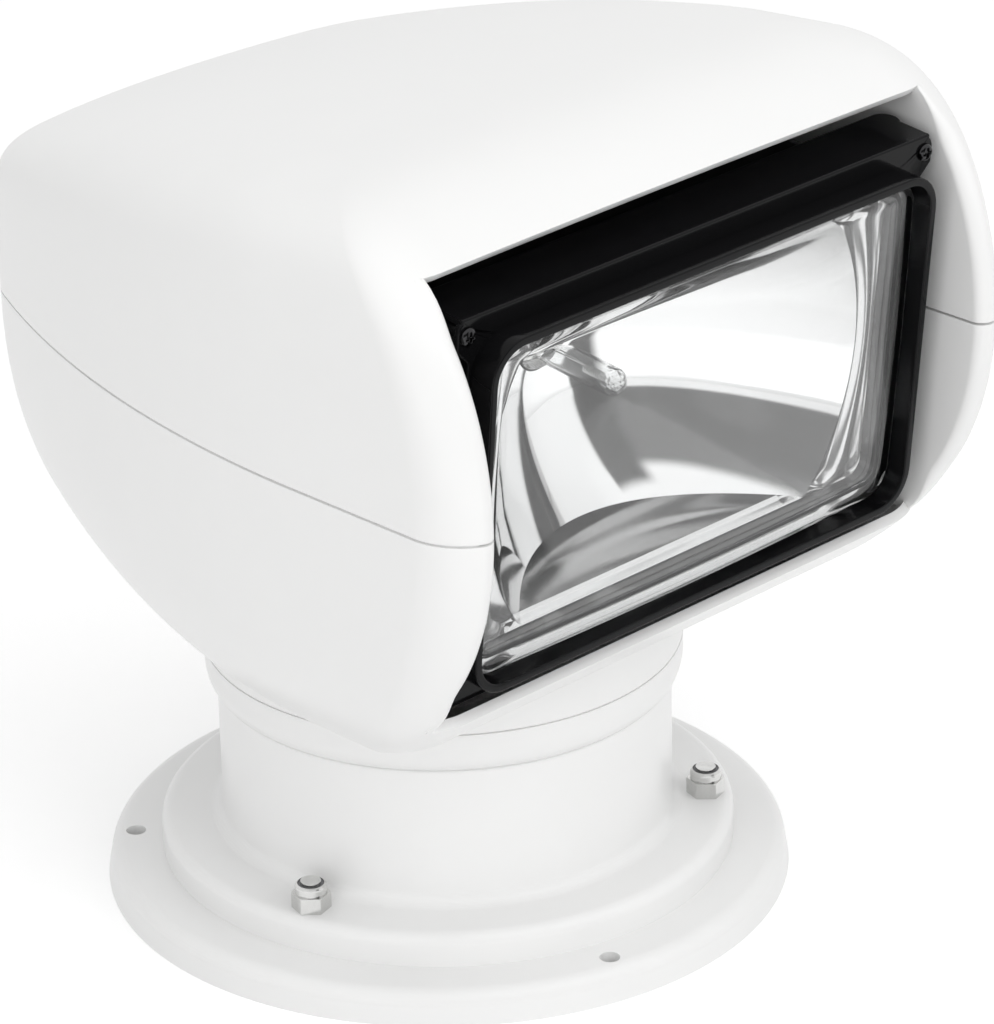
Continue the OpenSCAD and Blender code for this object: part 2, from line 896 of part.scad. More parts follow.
// Notches between the screw ears and the arms in the plate's sides
module side_notches() {
    depth = frame_margin - 1;
    for (side = [0, 1])
        mirror([0, 0, side])
            both_sides()
                translate([0, plate_front + frame_t + 1, 0])
                    rotate([90, 0, 0])
                        linear_extrude(frame_t + 2)
                            polygon([[frame_half_w - depth, notch_bottom], [frame_half_w + 1, notch_bottom],
                                [frame_half_w + 1, notch_top + 1], [frame_half_w - depth, notch_top - depth]]);
}

// Places of the frame screws, Z pointing back into the lamp
module at_frame_screws() {
    for (x = [-1, 1], z = [-1, 1])
        translate([x * frame_screw_x, plate_front, z * frame_screw_z])
            rotate([-90, 0, 0])
                children();
}

// Raised ring round the window
module bezel() {
    color("black")
        on_lamp()
            difference() {
                slab(bezel_half_w, bezel_half_h, bezel_r, bezel_front, plate_front);
                slab(bezel_half_w - bezel_wall, bezel_half_h - bezel_wall, bezel_r - bezel_wall,
                    bezel_front - 1, plate_front + 1);
            }
}

function lens_half_w() = bezel_half_w - bezel_wall + lens_lap;
function lens_half_h() = bezel_half_h - bezel_wall + lens_lap;
function lens_y() = plate_front + frame_t + seal_t;

// Flat seal between window and glass
module lens_seal() {
    color("dimgray")
        on_lamp()
            difference() {
                slab(lens_half_w(), lens_half_h(), bezel_r, lens_y() - seal_t, lens_y());
                slab(lens_half_w() - lens_lap + 0.2, lens_half_h() - lens_lap + 0.2, bezel_r - lens_lap,
                    lens_y() - seal_t - 1, lens_y() + 1);
            }
}

// Pressed glass lens with a domed front
module lens() {
    window_w = lens_half_w() - lens_lap - 0.3;
    window_h = lens_half_h() - lens_lap - 0.3;
    reach = norm([window_w, window_h]);
    steps = 12;
    dome = [for (i = [steps:-1:0]) let (r = reach * i / steps) [r, (reach * reach - r * r) / (2 * dome_r)]];
    color("lightblue")
        on_lamp() {
            slab(lens_half_w(), lens_half_h(), bezel_r, lens_y(), lens_y() + lens_rim);
            intersection() {
                slab(window_w, window_h, bezel_r - lens_lap - 0.3, lens_y() - 15, lens_y() + 1);
                translate([0, lens_y(), -axis_drop])
                    rotate([90, 0, 0])
                        rotate_extrude()
                            polygon(concat([[0, -1], [reach, -1]], dome));
            }
        }
}

// Parabola that the mirror follows, as a profile of radius and depth
function parabola(grow, n) =
    [for (i = [0:n]) let (r = i / n * 86) [r + grow * r / norm([r, 2 * focal]),
        apex_y + grow * 2 * focal / norm([r, 2 * focal]) - r * r / (4 * focal)]];

module parabola_solid(grow) {
    profile = parabola(grow, 16);
    rotate([-90, 0, 0])
        translate([0, axis_drop, 0])
            rotate_extrude()
                polygon(concat(profile, [[0, profile[16][1]]]));
}

// Mirror: a parabolic dish with flat top and bottom and a rim behind the glass
module reflector() {
    rim_y = lens_y() + lens_rim;
    in_w = can_half_w - can_wall - mirror_t - 0.5;
    color("whitesmoke")
        on_lamp()
            difference() {
                union() {
                    intersection() {
                        parabola_solid(mirror_t);
                        slab(in_w + mirror_t, mirror_half_h + mirror_t, 8 + mirror_t, rim_y, apex_y + 10);
                    }
                    slab(lens_half_w(), lens_half_h(), bezel_r, rim_y, rim_y + mirror_t);
                }
                intersection() {
                    parabola_solid(0);
                    slab(in_w, mirror_half_h, 8, rim_y - 1, apex_y + 10);
                }
                translate([0, apex_y - 10, -axis_drop])
                    rotate([-90, 0, 0])
                        cylinder(r = 8, h = 20);
            }
}

// Places on the lamp's optical axis, Z pointing forward from the mirror's apex
module on_axis() {
    on_lamp()
        translate([0, apex_y, -axis_drop])
            rotate([90, 0, 0])
                children();
}

// Halogen capsule
module bulb() {
    color("lightcyan")
        on_axis()
            rotate_extrude()
                polygon(concat(
                    [[0, 3], [4.6, 3], [5.4, 8]],
                    arc([0, 28], 5.4, 0, 90, 8)));
}

// Metal cap of the capsule
module bulb_base() {
    color("silver")
        on_axis()
            rotate_extrude()
                polygon([[0, -8], [6.5, -8], [6.5, -3], [7.4, -3], [7.4, 1], [6, 3], [0, 3]]);
}

// Moulded holder behind the mirror
module bulb_holder() {
    color("black")
        on_axis()
            difference() {
                union() {
                    translate([0, 0, apex_y - can_back + can_wall + seat_gap])
                        cylinder(r = 13, h = 2.9);
                    translate([0, 0, -20])
                        cylinder(r = 10, h = 15);
                }
                translate([0, 0, -8])
                    cylinder(r = 6.5 + seat_gap, h = 10);
                for (s = [-1, 1])
                    translate([s * 4 - 0.45, -3.05, -21])
                        cube([0.9, 6.1, 11]);
            }
}

// Blade contacts of the holder
module terminals() {
    color("silver")
        on_axis()
            for (s = [-1, 1])
                translate([s * 4 - 0.4, -3, -28])
                    cube([0.8, 6, 18]);
}

// Black can that closes the lamp from behind
module lamp_can() {
    front = plate_front + frame_t;
    step_w = frame_half_w - frame_t - 0.7;
    color("black")
        on_lamp()
            difference() {
                union() {
                    slab(step_w, lens_half_h() + 1.6, 6, front, can_step);
                    at_frame_screws()
                        translate([0, 0, frame_t])
                            cylinder(r = screw_boss_r, h = can_step - front);
                    slab(can_half_w, can_half_h, 8, can_step - 1, can_back);
                }
                slab(lens_half_w() + seat_gap, lens_half_h() + seat_gap, bezel_r, front - 1, can_step - 2);
                slab(can_half_w - can_wall, can_half_h - can_wall, 8, can_step - 3, can_back - can_wall);
                translate([0, can_back - 5, -axis_drop])
                    rotate([-90, 0, 0])
                        cylinder(r = 10 + seat_gap, h = 10);
                at_frame_screws()
                    translate([0, 0, frame_t - 0.5])
                        cylinder(r = small_screw_r + seat_gap, h = 9);
            }
}

// Screws in the frame's corners
module frame_screws() {
    color("silver")
        on_lamp()
            at_frame_screws()
                small_screw(9);
}

// Shoulder pins that the lamp tilts on
module pivot_pins() {
    color("silver")
        on_lamp()
            both_sides()
                rotate([0, 90, 0]) {
                    translate([0, 0, frame_half_w - frame_t - 3])
                        cylinder(r = pin_head_r, h = 3);
                    translate([0, 0, frame_half_w - frame_t - 1])
                        cylinder(r = pin_r, h = opening_half_w + 7 - frame_half_w + frame_t + 1);
                }
}

// Toothed sector on the right-hand arm
module tilt_sector() {
    pitch = 360 / sector_teeth;
    first = floor((drive_angle - rest_droop - 24) / pitch);
    count = ceil(68 / pitch);
    shift = drive_angle - rest_droop - pitch * round((drive_angle - rest_droop) / pitch);
    color("ivory")
        on_lamp()
            translate([sector_x, 0, 0])
                rotate([90, 0, 90])
                    difference() {
                        linear_extrude(sector_t) {
                            rotate(shift)
                                polygon(concat([[0, 0]], gear_points(sector_teeth, first, count)));
                            circle(r = 12);
                        }
                        translate([0, 0, -1])
                            cylinder(r = pin_head_r + 0.3, h = sector_t + 2);
                    }
}

mounting_plate();
foot_seal();
base_bolts();
stud_nuts();
nut_rings();
pedestal();
cable_grommet();
pan_bush();
motor_plate();
plate_screws();
pan_motor();
motor_screws();
pan_pinion();
turntable();
pan_gear();
thrust_washer();
spindle_nut();
lower_shell();
turntable_screws();
shell_seal();
upper_shell();
shell_screws();
pivot_bushes();
tilt_bracket();
bracket_screws();
tilt_motor();
tilt_pinion();
lamp_frame();
bezel();
lens_seal();
lens();
reflector();
bulb();
bulb_base();
bulb_holder();
terminals();
lamp_can();
frame_screws();
pivot_pins();
tilt_sector();
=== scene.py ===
import math

import bmesh
import bpy
import numpy as np
from mathutils import Matrix, Vector


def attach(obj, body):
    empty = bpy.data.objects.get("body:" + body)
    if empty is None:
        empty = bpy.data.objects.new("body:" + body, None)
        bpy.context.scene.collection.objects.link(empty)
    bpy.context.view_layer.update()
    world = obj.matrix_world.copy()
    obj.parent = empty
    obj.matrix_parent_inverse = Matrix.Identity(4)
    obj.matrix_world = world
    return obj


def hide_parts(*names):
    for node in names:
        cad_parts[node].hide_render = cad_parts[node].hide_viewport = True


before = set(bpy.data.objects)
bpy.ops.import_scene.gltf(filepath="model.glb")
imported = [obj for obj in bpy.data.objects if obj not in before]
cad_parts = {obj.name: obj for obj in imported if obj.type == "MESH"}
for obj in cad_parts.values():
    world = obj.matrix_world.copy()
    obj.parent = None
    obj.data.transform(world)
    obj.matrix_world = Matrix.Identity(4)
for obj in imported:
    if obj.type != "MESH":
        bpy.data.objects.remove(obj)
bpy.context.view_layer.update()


# Mounting plate: a round white moulding with three deck screw holes in its rim.
# It is injection moulded in glossy plastic and screwed down to the deck.


class Shade:
    """A shader socket inside a Python expression.

    The operators add Math nodes, and node() adds any other node to the same tree.
    """

    def __init__(self, tree, socket=None):
        self.tree = tree
        self.socket = socket

    def node(self, kind, settings=None, sockets=None, out=0):
        """Adds a node: its settings first, then the values or links of its sockets; gives back one output."""
        made = self.tree.nodes.new("ShaderNode" + kind)
        for key, value in (settings or {}).items():
            setattr(made, key, value)
        for key, value in (sockets or {}).items():
            if isinstance(value, Shade):
                self.tree.links.new(value.socket, made.inputs[key])
            else:
                made.inputs[key].default_value = value
        return Shade(self.tree, made.outputs[out] if len(made.outputs) else None)

    def math(self, operation, first, second):
        """Adds a Math node."""
        return self.node("Math", {"operation": operation}, {0: first, 1: second})

    def __add__(self, other):
        return self.math("ADD", self, other)

    __radd__ = __add__

    def __mul__(self, other):
        return self.math("MULTIPLY", self, other)

    __rmul__ = __mul__

    def __sub__(self, other):
        return self.math("SUBTRACT", self, other)

    def __rsub__(self, other):
        return self.math("SUBTRACT", other, self)

    def __truediv__(self, other):
        return self.math("DIVIDE", self, other)

    def __rtruediv__(self, other):
        return self.math("DIVIDE", other, self)


def start_finish(name):
    """An empty material and the Shade that adds nodes to it."""
    material = bpy.data.materials.new(name)
    material.use_nodes = True
    material.node_tree.nodes.clear()
    return material, Shade(material.node_tree)


def drift(shade, scale, detail=3.0, stretch=(1, 1, 1)):
    """Noise from 0 to 1 in the piece's own space: scale features to the metre, drawn out by stretch."""
    place = shade.node("TexCoord", out="Object")
    turned = shade.node("Mapping", None, {"Vector": place, "Scale": stretch})
    return shade.node("TexNoise", None, {"Vector": turned, "Scale": scale, "Detail": detail})


def shades_of(shade, amount, low, high):
    """A colour that goes from low to high with amount."""
    return shade.node("Mix", {"data_type": "RGBA"}, {0: amount, 6: (*low, 1), 7: (*high, 1)}, out=2)


def finish(name, colour, spread, rough, rough_spread, scale, bump, grain, stretch=(1, 1, 1), **fixed):
    """A surface whose colour and roughness drift softly and whose skin has a fine grain.

    colour varies by the share spread, rough by rough_spread, over features of 1/scale metre;
    bump is the grain's height in metres and 1/grain its size; fixed holds further values by socket name.
    """
    material, shade = start_finish(name)
    broad = drift(shade, scale, 3.0, stretch)
    fine = drift(shade, grain, 2.0, stretch)
    low = [c * (1 - spread) for c in colour]
    high = [min(1, c * (1 + spread)) for c in colour]
    skin = shade.node("Bump", None, {"Strength": 0.6, "Distance": bump, "Height": fine})
    look = {
        "Base Color": shades_of(shade, broad, low, high),
        "Roughness": (broad + fine) * rough_spread + (rough - rough_spread),
        "Normal": skin,
    }
    for key, value in fixed.items():
        look[key.replace("_", " ").title().replace("Ior", "IOR")] = value
    shader = shade.node("BsdfPrincipled", None, look)
    shade.node("OutputMaterial", None, {"Surface": shader})
    return material


def dress(material, *nodes):
    """Gives these CAD nodes the material."""
    for name in nodes:
        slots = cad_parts[name].data.materials
        slots.clear()
        slots.append(material)


WHITE = (0.87, 0.87, 0.865)
white_moulding = finish("white_moulding", WHITE, 0.01, 0.3, 0.05, 45, 0.000003, 900)
dress(white_moulding, "mounting_plate")


# Pedestal: the foot and hollow column, one white plastic moulding that is bolted down on the plate.
# Its bearing deck is inside the column, under the turning neck.

dress(white_moulding, "pedestal")


# Base bolts and lock nuts: bright stainless steel, with a nylon ring in each nut's collar.
# The bolts stand up through plate and foot and the nuts clamp them together.

stainless = finish("stainless", (0.66, 0.66, 0.65), 0.12, 0.2, 0.08, 400, 0.00001, 2500, (1, 1, 0.2),
                   metallic=1.0)
dress(stainless, "base_bolts", "stud_nuts")
grey_nylon = finish("grey_nylon", (0.2, 0.2, 0.21), 0.1, 0.5, 0.1, 500, 0.00002, 2000)
dress(grey_nylon, "nut_rings")


# Seals, grommet and inner drive: soft black rubber, natural nylon, zinc plated sheet, brass and plated steel.
# They sit inside the base and head, out of sight when the light is whole.

rubber = finish("rubber", (0.03, 0.03, 0.03), 0.2, 0.7, 0.1, 200, 0.00004, 1500)
dress(rubber, "foot_seal", "cable_grommet", "lens_seal")
natural_nylon = finish("natural_nylon", (0.78, 0.76, 0.69), 0.04, 0.42, 0.08, 150, 0.00002, 1200)
dress(natural_nylon, "pan_bush", "pan_gear", "pivot_bushes", "tilt_sector")
zinc_sheet = finish("zinc_sheet", (0.6, 0.61, 0.62), 0.1, 0.34, 0.1, 120, 0.00002, 900, metallic=1.0)
dress(zinc_sheet, "motor_plate", "tilt_bracket")
motor_can = finish("motor_can", (0.3, 0.31, 0.32), 0.12, 0.38, 0.1, 160, 0.00002, 1300, (1, 1, 4),
                   metallic=1.0)
dress(motor_can, "pan_motor", "tilt_motor")
brass = finish("brass", (0.76, 0.57, 0.25), 0.08, 0.28, 0.08, 300, 0.00001, 1800, metallic=1.0)
dress(brass, "pan_pinion", "tilt_pinion")
dress(stainless, "plate_screws", "motor_screws", "turntable_screws", "shell_screws", "bracket_screws",
      "pivot_pins", "spindle_nut", "thrust_washer")


# Turning neck: the white moulded turntable that carries the head and turns on the pedestal by its spindle.
# Its lower edge is well rounded and closes down to a thin line over the column.

MM = 0.001
NECK_R, NECK_Z, NECK_TOP, COLUMN_R = 70.4, 64.0, 76.0, 67.0
EDGE_R, EDGE_TOP = NECK_R + 0.03, NECK_TOP - 0.3
EDGE_Z, EDGE_DEPTH = NECK_Z + 6.75, 7.0
EDGE_INSIDE = [[64, NECK_Z + 0.2], [67, NECK_Z + 5], [68, EDGE_TOP]]
dress(white_moulding, "turntable")


def make_piece(name, points, quads, body, material, slot, *nodes):
    """A mesh object from an array of points in millimetres and an array of four-cornered faces.

    Doubled points along seams and at poles are merged, and the piece stands for the named nodes.
    """
    mesh = bpy.data.meshes.new(name)
    mesh.from_pydata((np.asarray(points) * MM).tolist(), [], np.asarray(quads).tolist())
    work = bmesh.new()
    work.from_mesh(mesh)
    bmesh.ops.remove_doubles(work, verts=work.verts, dist=0.00001)
    bmesh.ops.dissolve_degenerate(work, edges=work.edges, dist=0.000002)
    work.to_mesh(mesh)
    work.free()
    mesh.shade_smooth()
    mesh.set_sharp_from_angle(angle=math.radians(40))
    mesh.materials.append(material)
    piece = bpy.data.objects.new(name, mesh)
    bpy.context.scene.collection.objects.link(piece)
    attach(piece, body)
    if nodes:
        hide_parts(*nodes)
    return piece


def grid_quads(rows, columns, loop=False, first=0, flip=False):
    """Faces that join each point of a grid to its neighbours in the next row and column."""
    row, column = np.meshgrid(np.arange(rows - 1), np.arange(columns if loop else columns - 1), indexing="ij")
    right = (column + 1) % columns
    here, below = row * columns, (row + 1) * columns
    corners = [here + column, here + right, below + right, below + column]
    quads = np.stack(corners, axis=-1).reshape(-1, 4) + first
    return quads[:, ::-1] if flip else quads


def join_grids(*grids):
    """Points and faces of several grids as one: each grid is (array of rows x columns x 3, loop, flip)."""
    points, quads, first = [], [], 0
    for grid, loop, flip in grids:
        rows, columns = grid.shape[:2]
        points.append(grid.reshape(-1, 3))
        quads.append(grid_quads(rows, columns, loop, first, flip))
        first += rows * columns
    return np.concatenate(points), np.concatenate(quads)


def lathe(profile, sides=128):
    """A profile of radius and height turned about the pan axis."""
    turn = np.linspace(0, 2 * np.pi, sides, endpoint=False)
    profile = np.asarray(profile, float)
    x = profile[:, :1] * np.cos(turn)
    y = profile[:, :1] * np.sin(turn)
    return np.stack([x, y, profile[:, 1:] + 0 * x], axis=-1)


def bow(centre, radius, start, end, count=7):
    """A run of profile points on a circle."""
    angle = np.radians(np.linspace(start, end, count))
    return np.stack([centre[0] + radius * np.cos(angle), centre[1] + radius * np.sin(angle)], axis=-1)


def neck_edge():
    """The neck's edge turned about the pan axis: a side, a quarter ellipse in to the column, and an inside."""
    turn = np.radians(np.linspace(0, 90, 16))
    r = COLUMN_R + (EDGE_R - COLUMN_R) * np.cos(turn)
    lower = np.stack([r, EDGE_Z - EDGE_DEPTH * np.sin(turn)], axis=-1)
    start = [[EDGE_R, EDGE_TOP]]
    return lathe(np.concatenate([start, lower, EDGE_INSIDE, start]))


make_piece("neck_edge", *join_grids((neck_edge(), True, True)), "head", white_moulding, "white_plastic")


# Lower shell: the lower half of the head, a white moulding with a collar that stands on the neck.
# Its two cheeks rise beside the lamp, with rounded front edges, and its chin closes the front below.

SPLIT_Z = 176.7
HALF_JOINT = 0.4
FLOOR_Z = 76.0
HEAD_HALF_W = 112.0
HEAD_FRONT = 124.5
HEAD_REAR = 126.0
CORNER_R = 19.0
SIDE_ARC = (HEAD_HALF_W - 384.0, -61.0, 384.0)
REAR_ARC = (0.0, HEAD_REAR - 180.0, 180.0)
REAR_CORNER_R = 29.0
BROW_Y = -14.0
BROW_Z = SPLIT_Z + 1.3
BROW_R = 105.0
CROWN_H = 83.75
CROWN_FALL, CROWN_START, CROWN_BOW = 7.35, -116.0, 0.9
UPPER_EDGES = (7.6, 7.1, 14.0)
LOWER_EDGES = (3.52, 7.0, 2.29)
OPENING_HALF_W = 96.5
OPENING_TOP = 243.7
OPENING_BOTTOM = 111.5
LINER_BACK = -30.0
CHEEK_ROUND = 4.0
LIP_ROUND = 0.8
WALL = 3.0
EDGE_SOFT = 0.3
COLLAR_TOP, COLLAR_EDGE, COLLAR_LIP = 102.0, 0.6, 4.0


def round_points(centre, radius, start, end):
    """Points on a circle at angles from start to end, all of which may be arrays."""
    t = np.linspace(0, 1, 25)
    angle = np.radians(start + (end - start) * t)
    return np.stack([centre[0] + radius * np.cos(angle), centre[1] + radius * np.sin(angle)], axis=-1)


def rear_corner():
    """Centre of the rear corner's circle, which lies inside both the side arc and the rear arc."""
    a, b = np.array(SIDE_ARC[:2]), np.array(REAR_ARC[:2])
    ra, rb = SIDE_ARC[2] - REAR_CORNER_R, REAR_ARC[2] - REAR_CORNER_R
    gap = np.linalg.norm(b - a)
    u = (b - a) / gap
    along = (ra**2 - rb**2 + gap**2) / (2 * gap)
    off = math.sqrt(ra**2 - along**2)
    return a + along * u + off * np.array([-u[1], u[0]])


def bearing(a, b):
    """Direction from a to b in degrees."""
    return math.degrees(math.atan2(b[1] - a[1], b[0] - a[0]))


def plan_behind_corner():
    """Half plan outline behind the front corner: bowed side, rear corner and bowed rear, up to the middle."""
    centre = rear_corner()
    turn_in, turn_out = bearing(SIDE_ARC, centre), bearing(REAR_ARC, centre)
    side = round_points(SIDE_ARC, SIDE_ARC[2], 0, turn_in)
    corner = round_points(centre, REAR_CORNER_R, turn_in, turn_out)
    rear = round_points(REAR_ARC, REAR_ARC[2], turn_out, 90)
    return np.concatenate([side, corner[1:], rear[1:]])


def edge_scale(rise, power):
    """How far an edge has drawn in at a rise from 0 to 1: a superellipse of that power."""
    return np.maximum(0, 1 - rise**power) ** (1 / power)


def brow(z):
    """Reach of the front at a height, on the brow's arc."""
    return np.sqrt(np.maximum(0.02, 1 - ((z - BROW_Z) / BROW_R) ** 2))


def front_reach(rise, upper):
    """Height of the skin at each rise, and how far the front has drawn in there."""
    level = SPLIT_Z + CROWN_H * rise if upper else SPLIT_Z - (SPLIT_Z - FLOOR_Z) * rise
    power = UPPER_EDGES[1] if upper else LOWER_EDGES[1]
    return level, np.minimum(1, brow(level) / brow(SPLIT_Z)) * edge_scale(rise, power)


def head_surface(plan, rise, upper):
    """Points of the head's skin: plan outlines drawn in towards the crown or the floor.

    plan is an array of rows x columns x 2 and rise one number from 0 to 1 for each row.
    Sides, front and rear draw in on superellipses of their own powers, the front also on the brow's arc.
    The crown falls as a parabola towards the rear and bows a little to the sides.
    """
    sides, _, rear = UPPER_EDGES if upper else LOWER_EDGES
    rise = rise[:, None]
    level, forward = front_reach(rise, upper)
    dy = plan[..., 1] - BROW_Y
    x = plan[..., 0] * edge_scale(rise, sides)
    y = BROW_Y + dy * np.where(dy < 0, forward, edge_scale(rise, rear))
    crown = CROWN_H - CROWN_FALL * (np.maximum(0, y - CROWN_START) / 100) ** 2 - CROWN_BOW * (x / 100) ** 2
    z = SPLIT_Z + crown * rise if upper else level + 0 * x
    return np.stack([x, y, z], axis=-1)


def cheek_plan(rise, upper, rounding):
    """Half plan outlines of one cheek at each rise: inner wall, rounded front edge, then the outer skin.

    The inner wall stays at the opening's width after the skin is drawn in, so it is set wider here.
    """
    _, forward = front_reach(rise, upper)
    wall_x = (OPENING_HALF_W / edge_scale(rise, (UPPER_EDGES if upper else LOWER_EDGES)[0]))[:, None]
    corner_x, corner_y = HEAD_HALF_W - CORNER_R, CORNER_R - HEAD_FRONT
    r = rounding[:, None]
    off_x = wall_x + r - corner_x
    edge_y = corner_y - np.sqrt((CORNER_R - r) ** 2 - off_x**2)
    meet = np.degrees(np.arctan2(edge_y - corner_y, off_x))
    back_y = (BROW_Y + (LINER_BACK - BROW_Y) / forward)[:, None]
    along = np.linspace(0, 1, 9)
    wall = np.stack([wall_x + 0 * along, back_y + (edge_y - back_y) * along], axis=-1)
    edge = round_points((wall_x + r, edge_y), r, 180, 360 + meet)
    skin = round_points((corner_x, corner_y), CORNER_R, meet, 0)
    behind = np.broadcast_to(plan_behind_corner(), (len(rise), len(plan_behind_corner()), 2))
    return np.concatenate([wall, edge[:, 1:], skin[:, 1:], behind[:, 1:]], axis=1), meet[-1, 0]


def lip_plan(meet):
    """Half plan outline from the front middle: straight front, corner to the cheek's edge, then the skin."""
    corner = (HEAD_HALF_W - CORNER_R, CORNER_R - HEAD_FRONT)
    straight = np.stack([np.linspace(0, corner[0], 25), np.full(25, -HEAD_FRONT)], axis=-1)
    turn = round_points(corner, CORNER_R, -90, meet)
    skin = round_points(corner, CORNER_R, meet, 0)
    return np.concatenate([straight, turn[1:], skin[1:], plan_behind_corner()[1:]])


def both_halves(points):
    """A half outline and its mirror image, joined at the rear middle into one run from left to right."""
    return np.concatenate([points * [-1, 1, 1], points[:, -2::-1]], axis=1)


def fade(rise, end):
    """The cheek's edge radius, full at the parting line and small at the lip."""
    t = np.clip((end - rise) / (0.25 * end), 0, 1)
    return LIP_ROUND + (CHEEK_ROUND - LIP_ROUND) * t * t * (3 - 2 * t)


def half_head(upper, lip_z, depth, last_rise):
    """Grids of one half of the head: the cheeks up to the lip, then closed rings from there to the middle."""
    lip = abs(lip_z - SPLIT_Z) / depth
    rise = np.concatenate([[HALF_JOINT / depth], np.linspace(0.02, lip, 28)])
    plan, meet = cheek_plan(rise, upper, fade(rise, lip))
    cheeks = both_halves(head_surface(plan, rise, upper))
    power = (UPPER_EDGES if upper else LOWER_EDGES)[0]
    drawn = np.linspace(float(edge_scale(np.array(lip), power)), 0, 60)[1:]
    rise = np.concatenate([[lip], (1 - drawn**power) ** (1 / power)])
    rise = np.unique(np.concatenate([rise[rise <= last_rise], np.linspace(lip, last_rise, 30)]))
    ring = lip_plan(meet)
    plan = np.broadcast_to(ring, (len(rise), *ring.shape))
    rings = both_halves(head_surface(plan, rise, upper))
    return cheeks, rings


def soften(piece, width):
    """Takes the sharpness off a piece's edges."""
    round_edge = piece.modifiers.new("edge", "BEVEL")
    round_edge.width = width * MM
    round_edge.segments = 3
    round_edge.limit_method = "ANGLE"
    round_edge.angle_limit = math.radians(50)
    return round_edge


def thicken(piece, wall):
    """Gives a skin its wall, inwards."""
    solid = piece.modifiers.new("wall", "SOLIDIFY")
    solid.thickness = wall * MM
    solid.offset = -1


def face_outwards(piece, centre):
    """Turns a skin's faces away from a point inside it."""
    mesh = piece.data
    normals = np.empty(len(mesh.polygons) * 3)
    middles = np.empty(len(mesh.polygons) * 3)
    mesh.polygons.foreach_get("normal", normals)
    mesh.polygons.foreach_get("center", middles)
    away = (middles.reshape(-1, 3) - np.array(centre) * MM) * normals.reshape(-1, 3)
    if away.sum() < 0:
        mesh.flip_normals()


lower_cheeks, lower_rings = half_head(False, OPENING_BOTTOM, SPLIT_Z - FLOOR_Z, 0.985)
collar = lathe([
    [NECK_R, COLLAR_TOP],
    [NECK_R, FLOOR_Z + COLLAR_EDGE],
    [NECK_R - COLLAR_EDGE, FLOOR_Z],
    [NECK_R - COLLAR_LIP, FLOOR_Z],
])
lower_grids = (lower_cheeks, False, False), (lower_rings, False, False), (collar, True, True)
lower = make_piece("lower_shell_skin", *join_grids(*lower_grids),
                   "head", white_moulding, "white_plastic", "lower_shell")
face_outwards(lower, (0, 0, 140))
thicken(lower, WALL)
soften(lower, EDGE_SOFT)


# Upper shell: the upper half of the head, one white moulding with a bowed crown and a brow over the lamp.
# It closes on the lower half at the parting line.

upper_cheeks, upper_rings = half_head(True, OPENING_TOP, CROWN_H, 1.0)
upper_grids = (upper_cheeks, False, False), (upper_rings, False, False)
upper = make_piece("upper_shell_skin", *join_grids(*upper_grids),
                   "head", white_moulding, "white_plastic", "upper_shell")
face_outwards(upper, (0, 0, 190))
thicken(upper, WALL)
soften(upper, EDGE_SOFT)


# Parting seal: a flat strip of pale rubber, clamped between the two halves a little inside the skin.
# Its ends lie behind the rounded front edges of the cheeks.

SEAL_INSETS = np.array([1.1, 1.1, 2.9, 2.9, 1.1])
SEAL_RISES = np.array([-0.38, 0.38, 0.38, -0.38, -0.38])
SEAL_START = -58
pale_seal = finish("pale_seal", (0.9, 0.9, 0.9), 0.04, 0.6, 0.1, 200, 0.00003, 1500)


def seal_strip():
    """The plan outline from one cheek's edge round the rear to the other, with a flat section set in."""
    corner = round_points((HEAD_HALF_W - CORNER_R, CORNER_R - HEAD_FRONT), CORNER_R, SEAL_START, 0)
    half = np.concatenate([corner, plan_behind_corner()[1:]])
    run = np.concatenate([half * [-1, 1], half[-2::-1]])
    along = np.gradient(run, axis=0)
    along /= np.linalg.norm(along, axis=1, keepdims=True)
    inwards = along[:, ::-1] * [1, -1]
    place = run[:, None] + inwards[:, None] * SEAL_INSETS[:, None]
    height = np.broadcast_to(SPLIT_Z + SEAL_RISES, place.shape[:2])
    return np.concatenate([place, height[..., None]], axis=-1)


make_piece("parting_seal", *join_grids((seal_strip(), False, False)),
           "head", pale_seal, "seal_rubber", "shell_seal")


# Lamp frame and can: glossy black pressings that carry the glass and the mirror.
# The frame hangs on two pins between the cheeks, and the can closes the lamp from behind.

black_gloss = finish("black_gloss", (0.005, 0.005, 0.0055), 0.15, 0.1, 0.03, 90, 0.000003, 1200,
                     specular_ior_level=0.12)
dress(black_gloss, "lamp_frame", "lamp_can", "bulb_holder")
FOLD_R, WELD_GAP = 0.5, 0.01
for node in ("lamp_frame", "lamp_can"):
    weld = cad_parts[node].modifiers.new("weld", "WELD")
    weld.merge_threshold = WELD_GAP * MM
    soften(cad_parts[node], FOLD_R).use_clamp_overlap = False

PIVOT_Y = -65.0
REST_DROOP = math.radians(5.6)
AXIS_DROP = 1.0


def on_lamp(points):
    """Moves points from the lamp's frame, which has the pivot as origin, to the light's, turned by the droop."""
    x, y, z = np.moveaxis(np.asarray(points, float), -1, 0)
    c, s = math.cos(REST_DROOP), math.sin(REST_DROOP)
    return np.stack([x, y * c - z * s + PIVOT_Y, y * s + z * c + SPLIT_Z], axis=-1)


# Frame screws: four small black pan heads with cross recesses, one in each corner ear of the frame.
# They are turned from steel, blackened, and hold the frame to the can.

PLATE_FRONT = -35.0
SCREW_X, SCREW_Z = 90.0, 53.8
SCREW_R, SCREW_H = 2.6, 1.5
CROSS_HALF_W, CROSS_REACH, CROSS_DEPTH = 0.6, 1.75, 0.8
SCREW_TURN = 0.35
black_steel = finish("black_steel", (0.05, 0.05, 0.052), 0.2, 0.12, 0.05, 600, 0.000005, 3000, metallic=1.0)


